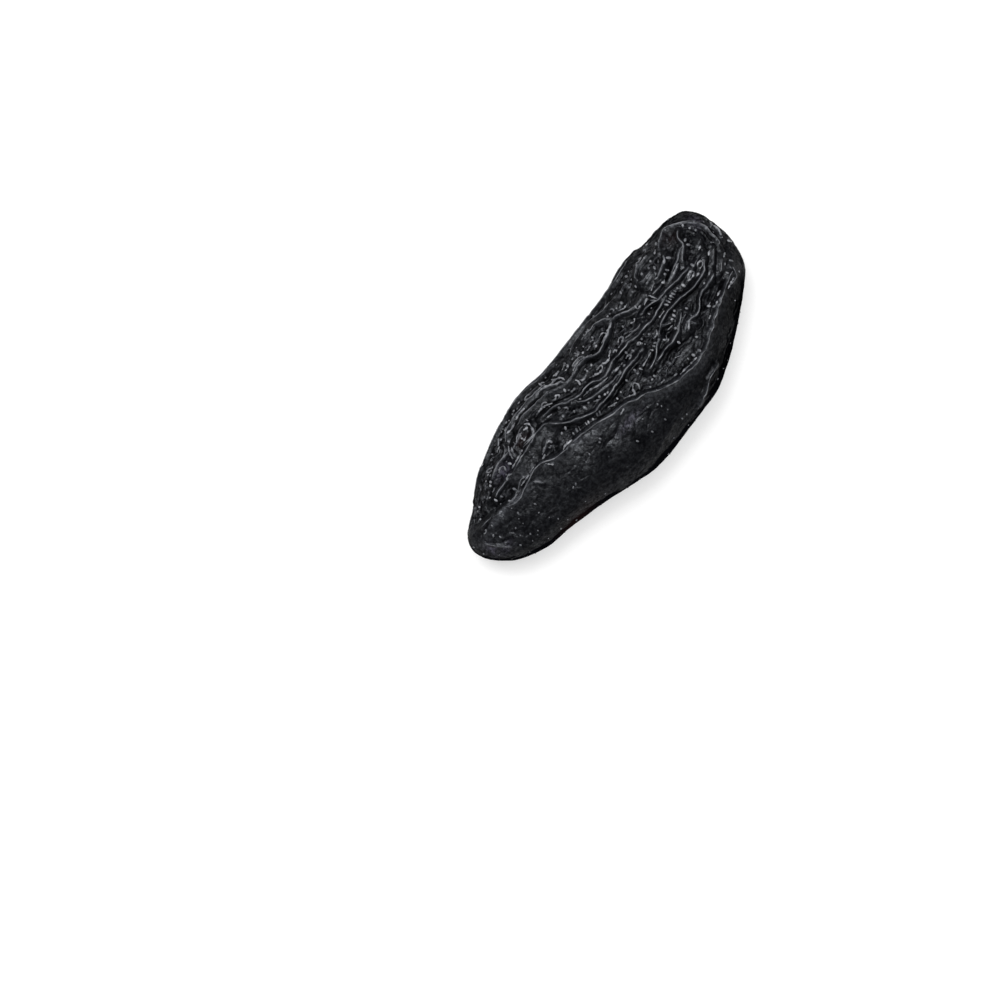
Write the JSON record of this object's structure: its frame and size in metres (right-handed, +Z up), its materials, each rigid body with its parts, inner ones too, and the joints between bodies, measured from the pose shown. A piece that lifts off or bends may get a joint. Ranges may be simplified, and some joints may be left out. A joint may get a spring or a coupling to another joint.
{
  "type": "tonka bean",
  "caption": "Whole dried tonka bean: a long flattened seed with a black coat wrinkled along its length, lying on its broad side.",
  "frame": {"origin": "middle of the bean's footprint box, on the surface that it lies on", "axes": "+X along the bean towards its blunt end, +Y across it towards the wrinkled edge, +Z up, away from the surface"},
  "size_m": [0.04, 0.0154, 0.0104],
  "materials": {
    "seed_coat": "semi-gloss, leathery, near-black"
  },
  "bodies": {
    "root": {"tonka_bean": "seed_coat"}
  },
  "joints": []
}
